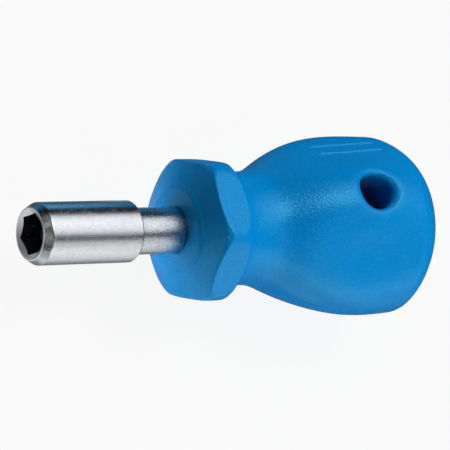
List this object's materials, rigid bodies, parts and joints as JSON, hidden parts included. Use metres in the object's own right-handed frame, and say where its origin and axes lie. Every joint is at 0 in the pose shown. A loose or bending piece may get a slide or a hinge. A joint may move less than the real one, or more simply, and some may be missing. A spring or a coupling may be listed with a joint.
{
  "type": "bit holder screwdriver",
  "caption": "Stubby screwdriver with a pear-shaped moulded handle, a hexagonal collar, a hanging hole and a steel sleeve whose hexagon socket holds interchangeable bits.",
  "frame": {"origin": "on the tool's axis, half way along its length", "axes": "+X along the axis from the socket mouth to the handle's end, +Z along the hanging hole, +Y in the plane where the handle's mould parts"},
  "size_m": [0.0804, 0.0334, 0.0318],
  "materials": {
    "blue_plastic": "moulded mid-blue plastic with a fine satin grain",
    "plated_steel": "bright turned steel, nickel plated",
    "satin_plated_steel": "satin chrome plated steel",
    "magnet_plating": "nickel plated magnet",
    "spring_steel": "dark oiled spring wire"
  },
  "bodies": {
    "root": {"handle": "blue_plastic", "shank": "plated_steel", "sleeve": "satin_plated_steel", "magnet": "magnet_plating", "retaining_ring": "spring_steel"}
  },
  "joints": []
}
